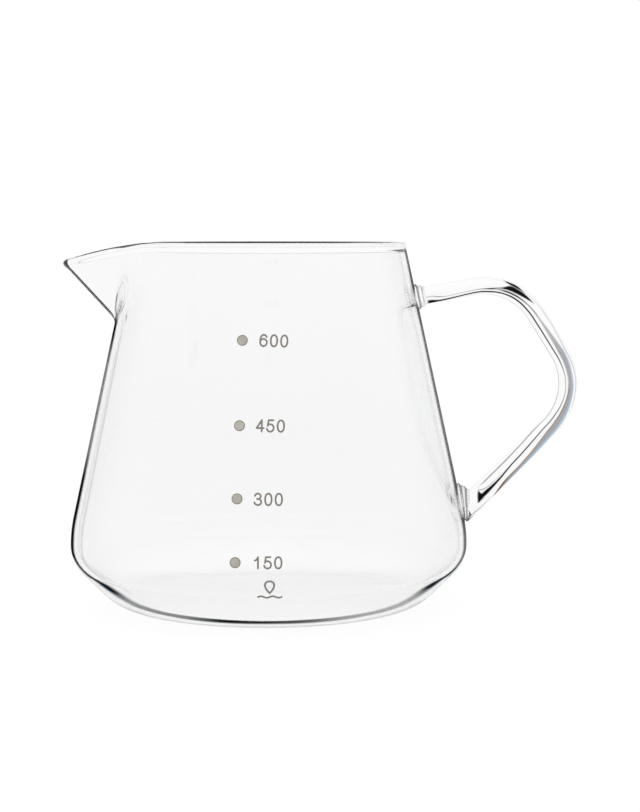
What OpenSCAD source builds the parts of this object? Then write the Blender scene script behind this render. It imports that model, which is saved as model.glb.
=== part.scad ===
// Glass coffee server: a blown body with a pulled V spout, and a solid rod handle fused to it.
// Millimetres. +Z is up, the spout points along -X, the handle along +X, and the scale faces -Y.
// The origin is the middle of the flat foot, on the body's axis.

/* [Body] */
// Height of the rim above the surface that the server stands on
body_h = 104.6; // [98:0.1:112]
// Outer radius of the wall at the rim
rim_r = 39.1; // [35:0.1:43]
// Outer radius at the widest place
belly_r = 57.4; // [54:0.1:62]
// Height of the widest place
belly_z = 17.8; // [16.6:0.1:20]
// Radius of the flat foot
foot_r = 37.5; // [34:0.1:39]
// Radius of the curve from the foot to the sloping heel
heel_r = 15; // [12:0.1:17]
// Radius of the curve from the sloping heel to the widest place
turn_r = 10; // [7:0.1:12]
// Radius of the curve from the widest place to the straight wall
hip_r = 38; // [30:0.5:46]
// Thickness of the glass wall and base
wall = 1.8; // [1.4:0.1:2.4]
// Diameter of the fire-polished bead along the rim and the lip
bead_d = 2.2; // [2:0.1:3]

/* [Spout] */
// Distance from the axis to the point where the keel meets the lip
spout_reach = 60; // [56:0.1:64]
// Drop of the tip below the rim
spout_drop = 5.8; // [4:0.1:8]
// Steepness of the spout's keel against the horizontal
keel_angle = 48.5; // [42:0.5:56]
// Radius round the keel, in the middle of the wall
keel_r = 3.2; // [2:0.1:5]
// Angle about the axis, each side of the tip, at which the lip leaves the rim
spout_spread = 32; // [26:0.5:38]
// Distance from the axis at which the lip starts to fall
lip_start = 33.9; // [32:0.1:36]
// Rise of the lip above a straight line from the rim to the tip
lip_bow = 0.7; // [0.3:0.1:1.5]

/* [Handle] */
// Depth of the upper joint on the wall below the rim
upper_drop = 15.7; // [12:0.1:20]
// Height of the lower joint on the wall
lower_z = 29.7; // [26:0.1:34]
// Distance of the top corner from the upper joint, outwards
top_out = 28; // [24:0.1:32]
// Height of the top corner above the upper joint
top_up = 5.3; // [3:0.1:8]
// Distance of the outer corner from the upper joint, outwards
grip_out = 48.6; // [43:0.1:52]
// Depth of the outer corner below the upper joint
grip_down = 27.4; // [23:0.1:30]
// Distance of the lower corner from the lower joint, outwards
knee_out = 3.1; // [2.6:0.1:4]
// Height of the lower corner above the lower joint
knee_up = 0.3; // [0.1:0.1:1]
// Radius of the rod's centre line in the top bend
top_bend_r = 18; // [12:0.5:20]
// Radius of the rod's centre line in the outer bend
grip_bend_r = 17.5; // [12:0.5:20]
// Radius of the rod's centre line in the lower bend
knee_bend_r = 3.6; // [3.4:0.1:4.5]
// Diameter of the rod in its upper arm
upper_d = 5; // [4.4:0.1:6]
// Diameter of the rod from the top bend to the outer bend
grip_d = 5.4; // [4.6:0.1:6.4]
// Diameter of the rod at its lower joint
lower_d = 6.5; // [5.8:0.1:7]

/* [Joints] */
// Diameter of the gathered glass round the upper joint
upper_weld_d = 7; // [6.6:0.1:9]
// Length of the upper gather along the rod
upper_weld_l = 3.4; // [2.6:0.1:5]
// Diameter of the gathered glass round the lower joint
lower_weld_d = 9.8; // [9:0.1:12]
// Length of the lower gather along the rod
lower_weld_l = 3; // [2.4:0.1:4]
// Depth of the ripples rolled into the gathers
ripple = 0.35; // [0.2:0.05:0.5]

/* [Scale] */
// Diameter of a printed dot
dot_d = 2.9; // [2:0.1:4]
// Thickness of the fired-on enamel
enamel_t = 0.15; // [0.1:0.01:0.3]
// Angle of the row of dots about the axis, from the front towards the spout
dot_angle = 7.6; // [0:0.1:15]
// Height of the 150 ml dot
dot_150_z = 20.9; // [19:0.1:23]
// Height of the 300 ml dot
dot_300_z = 37.4; // [35:0.1:40]
// Height of the 450 ml dot
dot_450_z = 56.4; // [54:0.1:59]
// Height of the 600 ml dot
dot_600_z = 78.8; // [76:0.1:82]

/* [Hidden] */
glass = [0.86, 0.9, 0.91];
enamel = [0.62, 0.59, 0.56];
round_fn = 96;
gather_fn = 48;
rod_sides = 20;
arc_steps = 9;
lip_steps = 5;
lip_sides = 10;
half_turn = 180;
quarter_turn = 90;

// How far a cutting solid runs past what it cuts, tied to the wall
overrun = 2 * wall;
bead_r = bead_d / 2;

// Centres of the three curves of the wall's outline, and the slope that touches the lower two
heel_c = [foot_r, heel_r];
turn_c = [belly_r - turn_r, belly_z];
hip_c = [belly_r - hip_r, belly_z];
heel_slope = quarter_turn + bearing(turn_c - heel_c) - acos((heel_r - turn_r) / norm(turn_c - heel_c));

// Lean of the straight wall, from the line through the rim that touches the upper curve
rim_edge = [rim_r, body_h];
lean = bearing(rim_edge - hip_c) - acos(hip_r / norm(rim_edge - hip_c));

// The tube of the rim: its centre line is a circle in the middle of the wall
rim_mid_r = rim_r - wall / 2;
rim_mid_z = body_h - bead_r;

// The spout's own axes: along runs up the keel, inward is square to it, towards the mouth
along = [-cos(keel_angle), sin(keel_angle)];
inward = [sin(keel_angle), cos(keel_angle)];
tip = [-spout_reach, body_h - spout_drop];
keel_point = tip + inward * wall / 2;
root_depth = (spout_reach - rim_r - spout_drop * tan(lean)) / (cos(keel_angle) / sin(keel_angle) + tan(lean));
keel_below = (root_depth + 2 * overrun) / sin(keel_angle);

// Where the middle of the spout's flank meets the middle of the rim, seen along the keel
flank_end = [rim_mid_r * -cos(spout_spread), rim_mid_z];
flank_in = (flank_end - keel_point) * inward;
flank_side = rim_mid_r * sin(spout_spread);
flank_span = norm([flank_in - keel_r, flank_side]);
flank_angle = atan2(flank_side, flank_in - keel_r) - asin(keel_r / flank_span);
flank_l = sqrt(flank_span * flank_span - keel_r * keel_r);

// The lip's side view is one arc from the start of its fall to the tip
lip_run = [-lip_start, body_h] - tip;
lip_r = (lip_run * lip_run) / (8 * lip_bow) + lip_bow / 2;
lip_c = tip + lip_run / 2 + (lip_r - lip_bow) * [lip_run[1], -lip_run[0]] / norm(lip_run);

// Corners of the handle's centre line in the plane of symmetry, from the upper joint to the lower
upper_z = body_h - upper_drop;
upper_joint = [wall_r(upper_z), upper_z];
top_corner = upper_joint + [top_out, top_up];
grip_corner = upper_joint + [grip_out, -grip_down];
lower_joint = [wall_r(lower_z), lower_z];
knee_corner = lower_joint + [knee_out, knee_up];
into_wall = overrun;
upper_run = bearing(top_corner - upper_joint);
grip_run = bearing(grip_corner - top_corner);
lower_run = bearing(knee_corner - grip_corner);
knee_run = bearing(lower_joint - knee_corner);

dot_heights = [dot_150_z, dot_300_z, dot_450_z, dot_600_z];

function bearing(v) = atan2(v[1], v[0]);
function heading(a) = [cos(a), sin(a)];

// Radius of the straight wall's outside at a height
function wall_r(z) = rim_r + (body_h - z) * tan(lean);

// Points of an arc from one angle to another
function arc(c, r, from, to) = [for (i = [0:arc_steps]) c + r * heading(from + (to - from) * i / arc_steps)];

// The wall's outline at a depth below its outer face, from the foot up to a length past the rim
function outline(depth, past) = concat(
    [[0, depth]],
    arc(heel_c, heel_r - depth, -quarter_turn, heel_slope - quarter_turn),
    arc(turn_c, turn_r - depth, heel_slope - quarter_turn, 0),
    [for (p = arc(hip_c, hip_r - depth, 0, lean)) if (p[1] > belly_z) p],
    [rim_edge - depth * heading(lean) + past * heading(lean + quarter_turn)]
);

// A solid of revolution up to the given depth, closed at the top on the axis
module turned(depth, past) {
    pts = outline(depth, past);
    rotate_extrude($fn = round_fn) polygon(concat(pts, [[0, pts[len(pts) - 1][1]]]));
}

// Half of the spout's section, square to the keel, at an offset from the middle of the glass
function flank(offset, l) = concat(
    [for (i = [0:arc_steps])
        [keel_r, 0] + (keel_r + offset) * heading(half_turn - (quarter_turn - flank_angle) * i / arc_steps)],
    [[keel_r, 0] + (keel_r + offset) * heading(flank_angle + quarter_turn) + l * heading(flank_angle)]
);

// The V of the spout as a solid wedge that slides up the keel
module wedge(offset) {
    half = flank(offset, flank_l + overrun);
    pts = concat([for (i = [len(half) - 1:-1:1]) [half[i][0], -half[i][1]]], half);
    translate([keel_point[0], 0, keel_point[1]]) rotate([0, keel_angle - quarter_turn, 0])
        translate([0, 0, -keel_below]) linear_extrude(keel_below + overrun) polygon(pts);
}

// Everything above the middle of the rim's bead and of the lip's bead
module above_lip() {
    side = spout_reach + overrun;
    low = body_h - spout_drop - 2 * bead_d;
    translate([-side, -side, rim_mid_z]) cube([2 * side, 2 * side, body_h]);
    difference() {
        translate([-side, -side, low]) cube([side - lip_start, 2 * side, body_h]);
        translate([lip_c[0], 0, lip_c[1]]) rotate([quarter_turn, 0, 0])
            cylinder(r = lip_r - bead_r, h = 4 * side, center = true, $fn = 6 * round_fn);
    }
}

// The bead on the round part of the rim
module rim_bead() {
    start = half_turn + spout_spread;
    rotate([0, 0, start]) rotate_extrude(angle = 2 * (half_turn - spout_spread), $fn = round_fn)
        translate([rim_mid_r, 0]) circle(bead_r, $fn = lip_sides * 2);
}

// Centre of the lip's bead on the line through a point of the spout's section
function lip_point(p) =
    let (
        q = keel_point + inward * p[0],
        off = q - lip_c,
        back = off * along,
        r = lip_r - bead_r,
        to_arc = -back + sqrt(back * back - off * off + r * r),
        to_rim = (rim_mid_z - q[1]) / along[1],
        c = q + along * min(to_arc, to_rim)
    ) [c[0], p[1], c[1]];

// Centres along one half of the lip, from the tip back to the rim
function half_lip() =
    let (half = flank(0, flank_l), n = len(half), a = half[n - 2], b = half[n - 1])
    concat([for (i = [0:n - 2]) lip_point(half[i])], [for (i = [1:lip_steps]) lip_point(a + (b - a) * i / lip_steps)]);

// A tube of round section swept along a path; flat is a direction that the path never takes
module tube(path, radii, sides, flat) {
    n = len(path);
    rings = [for (i = [0:n - 1])
        let (
            step = path[min(i + 1, n - 1)] - path[max(i - 1, 0)],
            t = step / norm(step),
            side = cross(t, flat) / norm(cross(t, flat)),
            up = cross(side, t)
        )
        for (k = [0:sides - 1])
            path[i] + radii[i] * (side * cos(2 * half_turn * k / sides) + up * sin(2 * half_turn * k / sides))];
    faces = concat(
        [[for (k = [0:sides - 1]) k]],
        [for (i = [0:n - 2], k = [0:sides - 1])
            let (m = (k + 1) % sides)
            [i * sides + k, (i + 1) * sides + k, (i + 1) * sides + m, i * sides + m]],
        [[for (k = [sides - 1:-1:0]) (n - 1) * sides + k]]
    );
    polyhedron(points = rings, faces = faces, convexity = 4);
}

// The bead along both sides of the spout and round its tip
module lip_bead() {
    half = half_lip();
    back = [for (i = [len(half) - 1:-1:1]) [half[i][0], -half[i][1], half[i][2]]];
    path = concat(back, half);
    tube(path, [for (p = path) bead_r], lip_sides, [0, 0, 1]);
}

// Blown body: even wall, flat foot, pulled spout and rolled edge
module glass_body() {
    color(glass) union() {
        difference() {
            union() {
                turned(0, 0);
                wedge(wall / 2);
            }
            turned(wall, body_h);
            wedge(-wall / 2);
            above_lip();
        }
        translate([0, 0, rim_mid_z]) rim_bead();
        lip_bead();
    }
}

// Centres along a clockwise bend of the rod round a corner, from one heading to the next
function bend(corner, r, run_in, run_out) =
    let (c = corner - r * tan((run_in - run_out) / 2) * heading(run_in) + r * heading(run_in - quarter_turn))
    arc(c, r, run_in + quarter_turn, run_out + quarter_turn);

// The whole rod, run on into the wall at both ends
module rod() {
    top_bend = bend(top_corner, top_bend_r, upper_run, grip_run);
    grip_bend = bend(grip_corner, grip_bend_r, grip_run, lower_run);
    knee_bend = bend(knee_corner, knee_bend_r, lower_run, knee_run);
    start = upper_joint - into_wall * heading(upper_run);
    end = lower_joint + into_wall * heading(knee_run);
    centres = concat([start], top_bend, grip_bend, knee_bend, [end]);
    radii = concat(
        [upper_d / 2],
        [for (i = [0:arc_steps]) (upper_d + (grip_d - upper_d) * i / arc_steps) / 2],
        [for (p = grip_bend) grip_d / 2],
        [for (p = knee_bend) lower_d / 2],
        [lower_d / 2]
    );
    tube([for (c = centres) [c[0], 0, c[1]]], radii, rod_sides, [0, 1, 0]);
}

// Solid rod handle, its two ends seated on the wall
module handle() {
    color(glass) difference() {
        rod();
        turned(0, 0);
    }
}

// Gathered glass round a joint: a short sleeve on the rod that swells towards the wall in ripples
module gather(joint, out_angle, d, l) {
    steps = 3 * arc_steps;
    swell = [for (i = [0:steps]) let (s = i / steps)
        [d / 2 * sqrt(1 - s * s) + ripple * sin(2 * s * 2 * half_turn) * (1 - s), l * s]];
    color(glass) difference() {
        translate([joint[0], 0, joint[1]]) rotate([0, quarter_turn - out_angle, 0])
            rotate_extrude($fn = gather_fn) polygon(concat([[0, -into_wall], [d / 2, -into_wall]], swell));
        turned(0, 0);
        children();
    }
}

// A straight bore for the rod, from a length before a point to a length past it
module bore(point, out_angle, d, before, past) {
    translate([point[0], 0, point[1]]) rotate([0, quarter_turn - out_angle, 0]) translate([0, 0, -before])
        cylinder(d = d, h = before + past, $fn = gather_fn);
}

// Gather at the upper joint
module upper_handle_weld() {
    gather(upper_joint, upper_run, upper_weld_d, upper_weld_l)
        bore(upper_joint, upper_run, upper_d, overrun + into_wall, upper_weld_l + overrun);
}

// Gather at the lower joint, where the rod turns up inside it
module lower_handle_weld() {
    mitre = lower_d / 2 * tan((lower_run - knee_run) / 2);
    knee_l = norm(knee_corner - lower_joint);
    gather(lower_joint, knee_run + half_turn, lower_weld_d, lower_weld_l) {
        bore(lower_joint, knee_run + half_turn, lower_d, overrun + into_wall, knee_l + mitre);
        bore(knee_corner, lower_run + half_turn, lower_d, mitre, lower_weld_l + overrun);
    }
}

// Four fired-on dots at the fill levels, each a thin disc that follows the wall
module scale_dots() {
    color(enamel) intersection() {
        difference() {
            turned(-enamel_t, 0);
            turned(0, overrun);
        }
        for (z = dot_heights) rotate([0, 0, -dot_angle]) translate([0, 0, z]) rotate([quarter_turn, 0, 0])
            cylinder(d = dot_d, h = belly_r + overrun, $fn = gather_fn);
    }
}

glass_body();
handle();
upper_handle_weld();
lower_handle_weld();
scale_dots();
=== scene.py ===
"""A glass coffee server: blown body with a pulled spout, rod handle, two gathers, fired-on scale.

It stands in the frame of the CAD part: +Z is up, the spout points along -X, the handle along +X
and the scale faces -Y. Sizes of pieces are in millimetres, as in the part's source, and become
metres when a mesh is made. Finishes and studio are in metres.
"""

import logging
import math
from dataclasses import dataclass, field
from enum import Enum
from typing import Callable, Sequence, Union

import bmesh
import bpy
import numpy as np
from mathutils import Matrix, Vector


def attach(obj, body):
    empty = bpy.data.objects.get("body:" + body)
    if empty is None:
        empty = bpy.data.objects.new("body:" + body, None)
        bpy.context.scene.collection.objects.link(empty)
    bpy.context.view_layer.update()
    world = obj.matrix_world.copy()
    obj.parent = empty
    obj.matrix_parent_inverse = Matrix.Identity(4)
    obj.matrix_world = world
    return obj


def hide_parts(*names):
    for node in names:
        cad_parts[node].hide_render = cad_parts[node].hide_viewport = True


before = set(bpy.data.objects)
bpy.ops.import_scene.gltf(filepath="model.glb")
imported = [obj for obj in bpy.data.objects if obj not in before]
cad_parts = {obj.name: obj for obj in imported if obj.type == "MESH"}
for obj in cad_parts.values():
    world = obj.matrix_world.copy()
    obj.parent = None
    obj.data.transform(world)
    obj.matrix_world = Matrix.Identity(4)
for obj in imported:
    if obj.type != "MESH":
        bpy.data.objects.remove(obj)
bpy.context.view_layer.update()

LOG = logging.getLogger("coffee_server")
MM = 0.001
PERCENT = 0.01
FULL_TURN = 2 * math.pi
QUARTER = math.pi / 2
BODY = "root"
HALVINGS = 44
FAR_AWAY = 1000.0
TO_OUTLINE = 2.0
TINY = 1e-9

Array = np.ndarray
Socket = bpy.types.NodeSocket
Settings = dict[str, object]
Sockets = dict[str | int, object]
Pair = tuple[float, float]
Triple = tuple[float, float, float]
Row = tuple[float, float, float, float]


class Slot(Enum):
    """The material slots of the part's record."""

    GLASS = "clear_glass"
    ENAMEL = "grey_enamel"


class Kind(Enum):
    """What a mesh attribute holds: its type and the key of its data."""

    NUMBER = ("FLOAT", "value")
    VECTOR = ("FLOAT_VECTOR", "vector")
    COLOUR = ("FLOAT_COLOR", "color")


# ------------------------------------------------------------------------------
# Node trees


class Value:
    """A number that comes out of a node. Arithmetic on it adds Math nodes to its tree."""

    def __init__(self, graph: "Graph", socket: Socket) -> None:
        """Keep the socket and the graph that it belongs to."""
        self.graph = graph
        self.socket = socket

    def _math(self, operation: str, *terms: "Term") -> "Value":
        """Add a Math node.

        Args:
            operation: The node's operation.
            *terms: Its terms, in their order.

        Returns:
            Its result.
        """
        return self.graph.value(
            "ShaderNodeMath", 0, {"operation": operation}, dict(enumerate(terms))
        )

    def __add__(self, other: "Term") -> "Value":
        """Sum."""
        return self._math("ADD", self, other)

    def __sub__(self, other: "Term") -> "Value":
        """Difference."""
        return self._math("SUBTRACT", self, other)

    def __rsub__(self, other: "Term") -> "Value":
        """Difference from a plain number."""
        return self._math("SUBTRACT", other, self)

    def __mul__(self, other: "Term") -> "Value":
        """Product."""
        return self._math("MULTIPLY", self, other)

    __radd__ = __add__
    __rmul__ = __mul__

    def larger(self, other: "Term") -> "Value":
        """The larger of this and another number."""
        return self._math("MAXIMUM", self, other)

    def step(self, low: float, high: float) -> "Value":
        """Step softly from 0 to 1.

        Args:
            low: Where the step starts.
            high: Where it ends.

        Returns:
            The step.
        """
        return self.graph.value(
            "ShaderNodeMapRange",
            "Result",
            {"interpolation_type": "SMOOTHSTEP"},
            {"Value": self, "From Min": low, "From Max": high},
        )


Term = Union[Value, float]
Colour = Union[Socket, Triple]


class Graph:
    """A node tree, with one method that adds any node to it."""

    def __init__(self, tree: bpy.types.NodeTree) -> None:
        """Keep the tree and empty it."""
        self.tree = tree
        tree.nodes.clear()

    def node(
        self, kind: str, settings: Settings | None = None, sockets: Sockets | None = None
    ) -> bpy.types.Node:
        """Add a node.

        Args:
            kind: The node's type name.
            settings: Its own properties, which are set first.
            sockets: Values or links of its inputs, by name or number.

        Returns:
            The new node.
        """
        made = self.tree.nodes.new(kind)
        for name, value in (settings or {}).items():
            setattr(made, name, value)
        for name, value in (sockets or {}).items():
            source = value.socket if isinstance(value, Value) else value
            if isinstance(source, Socket):
                self.tree.links.new(source, made.inputs[name])
            else:
                made.inputs[name].default_value = source
        return made

    def value(
        self,
        kind: str,
        output: str | int,
        settings: Settings | None = None,
        sockets: Sockets | None = None,
    ) -> Value:
        """Add a node and wrap one of its outputs as a number."""
        return Value(self, self.node(kind, settings, sockets).outputs[output])

    def parts(self, vector: Socket) -> list[Value]:
        """The three parts of a vector."""
        made = self.node("ShaderNodeSeparateXYZ", None, {0: vector})
        return [Value(self, part) for part in made.outputs]

    def attribute(self, name: str, output: str) -> Socket:
        """What the mesh holds under a name."""
        return self.node("ShaderNodeAttribute", {"attribute_name": name}).outputs[output]

    def noise(self, place: Socket, scale: float, detail: float) -> Value:
        """Noise at a place."""
        sockets = {"Vector": place, "Scale": scale, "Detail": detail}
        return self.value("ShaderNodeTexNoise", "Fac", None, sockets)

    def mix(self, factor: Term, first: Colour, second: Colour) -> Socket:
        """Mix two colours.

        Args:
            factor: The share of the second.
            first: A colour.
            second: Another.

        Returns:
            The mixed colour.
        """
        ends = ((*end, 1.0) if isinstance(end, tuple) else end for end in (first, second))
        sockets = dict(zip((0, 6, 7), (factor, *ends)))
        return self.node("ShaderNodeMix", {"data_type": "RGBA"}, sockets).outputs[2]

    def surface(self, sockets: Sockets) -> Socket:
        """A Principled surface."""
        return self.node("ShaderNodeBsdfPrincipled", None, sockets).outputs[0]

    def blend(self, factor: Term, first: Socket, second: Socket) -> Socket:
        """Mix two surfaces by a factor."""
        return self.node("ShaderNodeMixShader", None, {0: factor, 1: first, 2: second}).outputs[0]


class GeometryTree(Graph):
    """A Geometry Nodes tree with named inputs, ending in Realize Instances and Set Material."""

    SOCKETS = {
        float: "NodeSocketFloat",
        int: "NodeSocketInt",
        bpy.types.Material: "NodeSocketMaterial",
    }

    def __init__(self, name: str, inputs: dict[str, object]) -> None:
        """Make the tree's interface.

        Args:
            name: The tree's name.
            inputs: Each input's name and value.
        """
        super().__init__(bpy.data.node_groups.new(name, "GeometryNodeTree"))
        face = self.tree.interface
        face.new_socket(name="Geometry", in_out="INPUT", socket_type="NodeSocketGeometry")
        self.values: dict[str, object] = {}
        for label, value in inputs.items():
            kind = self.SOCKETS[type(value)]
            socket = face.new_socket(name=label, in_out="INPUT", socket_type=kind)
            self.values[socket.identifier] = value
        face.new_socket(name="Geometry", in_out="OUTPUT", socket_type="NodeSocketGeometry")
        self.given = self.node("NodeGroupInput").outputs

    def close(self, geometry: Socket) -> None:
        """Realize the instances, shade smooth, give the finish and end the tree.

        Args:
            geometry: What the tree's other nodes made.
        """
        finish = {"Material": self.given["Finish"]}
        for kind, more in (
            ("GeometryNodeRealizeInstances", {}),
            ("GeometryNodeSetShadeSmooth", {}),
            ("GeometryNodeSetMaterial", finish),
        ):
            geometry = self.node(kind, None, {"Geometry": geometry, **more}).outputs[0]
        self.node("NodeGroupOutput", None, {"Geometry": geometry})

    def apply(self, obj: bpy.types.Object) -> None:
        """Run the tree on an object and leave the result as its plain mesh.

        Args:
            obj: The object whose mesh the tree starts from.
        """
        modifier = obj.modifiers.new(self.tree.name, "NODES")
        modifier.node_group = self.tree
        for identifier, value in self.values.items():
            modifier[identifier] = value
        obj.update_tag()
        bpy.context.view_layer.update()
        graph = bpy.context.evaluated_depsgraph_get()
        baked = bpy.data.meshes.new_from_object(
            obj.evaluated_get(graph), preserve_all_data_layers=True, depsgraph=graph
        )
        obj.modifiers.remove(modifier)
        start = obj.data
        obj.data = baked
        baked.name = obj.name
        bpy.data.meshes.remove(start)


# ------------------------------------------------------------------------------
# Finishes


def new_material(name: str) -> tuple[bpy.types.Material, Graph]:
    """Make a material.

    Args:
        name: Its name.

    Returns:
        The material and its empty node tree.
    """
    material = bpy.data.materials.new(name)
    material.use_nodes = True
    return material, Graph(material.node_tree)


@dataclass(frozen=True)
class ClearGlass:
    """Blown borosilicate glass: clear, a trace of grey, faintly uneven, with painted shade and
    light.

    Painted shade makes the edges darker at grazing angles and the lower body darker, and lays dark
    lines on the faces seen from outside, standing in for the dark parts of a room that the glass
    refracts; painted light makes the foot lighter. The mesh's attribute "outline" says how dark its
    painted line is and between which angles to the viewer it shows, "edges" how dark its painted
    very edge and the painted faint line of the inner face are, and "streak" holds the painted dark
    bands of a solid rod. Angles are Layer Weight's: 0 faces the viewer, 1 is the outline.
    """

    name: str = "clear_glass"
    ior: float = 1.474
    tint: Triple = (0.972, 0.972, 0.972)
    # Painted shade: the body darker towards the bottom.
    tint_low: Triple = (0.951, 0.951, 0.951)
    tint_heights: Pair = (0.03, 0.105)
    tint_drift: float = 0.3
    # Painted light: the foot lighter, as if lit by the table.
    tint_foot: Triple = (0.99, 0.99, 0.99)
    foot_heights: Pair = (0.004, 0.016)
    # Painted shade: the glass darker at grazing angles to the viewer.
    tint_edge: Triple = (0.86, 0.865, 0.87)
    edge_turn: Pair = (0.35, 0.85)
    haze: float = 0.012
    haze_size: float = 26.0
    haze_detail: float = 3.0
    haze_span: Pair = (0.55, 0.8)
    wave_height: float = 0.00002
    wave_size: float = 38.0
    wave_detail: float = 1.0
    # Painted shade lines: near black, with warm and cool fringes.
    line_colour: Triple = (0.004, 0.004, 0.0045)
    line_cool: Triple = (0.04, 0.11, 0.17)
    line_warm: Triple = (0.1, 0.065, 0.035)
    line_width: float = 0.065
    line_roughness: float = 0.3
    hairline: Pair = (0.92, 0.98)
    ghost: Pair = (0.668, 0.682)
    ghost_width: float = 0.015
    streak_blend: float = 0.05

    def lines(self, graph: Graph, facing: Value) -> tuple[Value, Socket]:
        """Work out the painted shade lines of the faces that are seen from outside.

        Args:
            graph: The material's graph.
            facing: Layer Weight's Facing.

        Returns:
            How dark each line is, from 0 to 1, and its colour.
        """
        strength, start, end = graph.parts(graph.attribute("outline", "Vector"))
        hairline, ghost, _ = graph.parts(graph.attribute("edges", "Vector"))
        band = Value(graph, graph.attribute("streak", "Alpha"))
        width, (low, high) = self.line_width, self.ghost
        begun, ended = (facing - start).step(0.0, width), (facing - end).step(0.0, width)
        edge = begun * (1.0 - ended) * strength
        edge = edge.larger(facing.step(*self.hairline) * hairline)
        rise = facing.step(low - self.ghost_width, low)
        edge = edge.larger(rise * (1.0 - facing.step(high, high + self.ghost_width)) * ghost)
        cool = (facing - end).step(-width / 2, width)
        colour = graph.mix(cool, self.line_colour, self.line_cool)
        colour = graph.mix(1.0 - begun, colour, self.line_warm)
        banded = band.step(0.0, self.streak_blend)
        colour = graph.mix(banded, colour, graph.attribute("streak", "Color"))
        inside = graph.value("ShaderNodeNewGeometry", "Backfacing")
        return edge.larger(band) * (1.0 - inside), colour

    def build(self) -> bpy.types.Material:
        """Make the material, see-through for shadow rays.

        Returns:
            The glass.
        """
        material, graph = new_material(self.name)
        place = graph.node("ShaderNodeTexCoord").outputs["Object"]
        height = graph.parts(place)[2]
        drift = graph.noise(place, self.haze_size, self.haze_detail)
        waves = graph.noise(place, self.wave_size, self.wave_detail)
        relief = {"Strength": 1.0, "Distance": self.wave_height, "Height": waves}
        facing = graph.value("ShaderNodeLayerWeight", "Facing")
        # Painted shade lower in the body, mixed with a random drift.
        low = (1.0 - height.step(*self.tint_heights)) * (1 - self.tint_drift)
        body = graph.mix(low + drift * self.tint_drift, self.tint, self.tint_low)
        # Painted light makes the foot lighter.
        body = graph.mix(1.0 - height.step(*self.foot_heights), body, self.tint_foot)
        glass = graph.surface(
            {
                # Painted shade darkens the edges at grazing angles.
                "Base Color": graph.mix(facing.step(*self.edge_turn), body, self.tint_edge),
                "Roughness": drift.step(*self.haze_span) * self.haze,
                "IOR": self.ior,
                "Transmission Weight": 1.0,
                "Normal": graph.node("ShaderNodeBump", None, relief).outputs[0],
            }
        )
        # Painted shade lines and bands, laid over the glass where the mesh's attributes ask for
        # them.
        amount, colour = self.lines(graph, facing)
        line = graph.surface(
            {"Base Color": colour, "Roughness": self.line_roughness, "Specular IOR Level": 0.0}
        )
        clear = graph.node("ShaderNodeBsdfTransparent").outputs[0]
        shadow = graph.value("ShaderNodeLightPath", "Is Shadow Ray")
        whole = graph.blend(shadow, graph.blend(amount, glass, line), clear)
        graph.node("ShaderNodeOutputMaterial", None, {"Surface": whole})
        return material


@dataclass(frozen=True)
class GreyEnamel:
    """Warm grey ceramic ink, printed and fired on: matt, finely grained, thinner in places.

    The mesh's attribute "ink_edge" is the distance from the edge of the print, where ink pools.
    """

    name: str = "grey_enamel"
    colour: Triple = (0.31, 0.29, 0.25)
    thin_colour: Triple = (0.4, 0.375, 0.33)
    pooled_colour: Triple = (0.11, 0.095, 0.075)
    pool_width: float = 0.00028
    grain_size: float = 2600.0
    grain_detail: float = 4.0
    grain_share: float = 0.3
    grain_roughness: float = 0.2
    patch_size: float = 420.0
    patch_detail: float = 2.0
    patch_span: Pair = (0.35, 0.75)
    roughness: float = 0.5
    relief: float = 0.00002
    relief_strength: float = 0.6

    def build(self) -> bpy.types.Material:
        """Make the material.

        Returns:
            The ink.
        """
        material, graph = new_material(self.name)
        place = graph.node("ShaderNodeTexCoord").outputs["Object"]
        grain = graph.noise(place, self.grain_size, self.grain_detail)
        patch = graph.noise(place, self.patch_size, self.patch_detail)
        relief = {"Strength": self.relief_strength, "Distance": self.relief, "Height": grain}
        thin = patch.step(*self.patch_span) * (1 - self.grain_share) + grain * self.grain_share
        edge = Value(graph, graph.attribute("ink_edge", "Fac"))
        pooled = 1.0 - edge.step(self.pool_width / 3, self.pool_width)
        body = graph.mix(thin, self.colour, self.thin_colour)
        ink = graph.surface(
            {
                "Base Color": graph.mix(pooled, body, self.pooled_colour),
                "Roughness": grain * self.grain_roughness + self.roughness,
                "Normal": graph.node("ShaderNodeBump", None, relief).outputs[0],
            }
        )
        graph.node("ShaderNodeOutputMaterial", None, {"Surface": ink})
        return material


# ------------------------------------------------------------------------------
# Meshes and curves


def stand(name: str, data: bpy.types.ID) -> bpy.types.Object:
    """Put a new object into the scene, at the origin.

    Args:
        name: Its name.
        data: Its mesh, light or camera.

    Returns:
        The object.
    """
    made = bpy.data.objects.new(name, data)
    bpy.context.scene.collection.objects.link(made)
    return made


def store(mesh: bpy.types.Mesh, name: str, kind: Kind, values: Array) -> None:
    """Write an attribute of a mesh's vertices.

    Args:
        mesh: The mesh.
        name: The attribute's name.
        kind: What it holds.
        values: One row for each vertex.
    """
    held, key = kind.value
    made = mesh.attributes.new(name, held, "POINT")
    made.data.foreach_set(key, values.ravel().astype(np.float32))


def add_piece(
    name: str, points: Array, faces: Sequence[Sequence[int]], finish: bpy.types.Material
) -> bpy.types.Object:
    """Make a smooth-shaded piece from points in millimetres.

    Args:
        name: The piece's name.
        points: One row of x, y, z for each vertex.
        faces: Vertex numbers of each face, seen from outside.
        finish: Its material.

    Returns:
        The new object, in the scene.
    """
    mesh = bpy.data.meshes.new(name)
    mesh.from_pydata((points * MM).tolist(), [], [list(face) for face in faces])
    mesh.materials.append(finish)
    mesh.update()
    mesh.shade_smooth()
    return stand(name, mesh)


def sharpen(piece: bpy.types.Object, degrees: float) -> None:
    """Mark the edges of a mesh that turn by more than an angle as sharp."""
    piece.data.set_sharp_from_angle(angle=math.radians(degrees))


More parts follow.
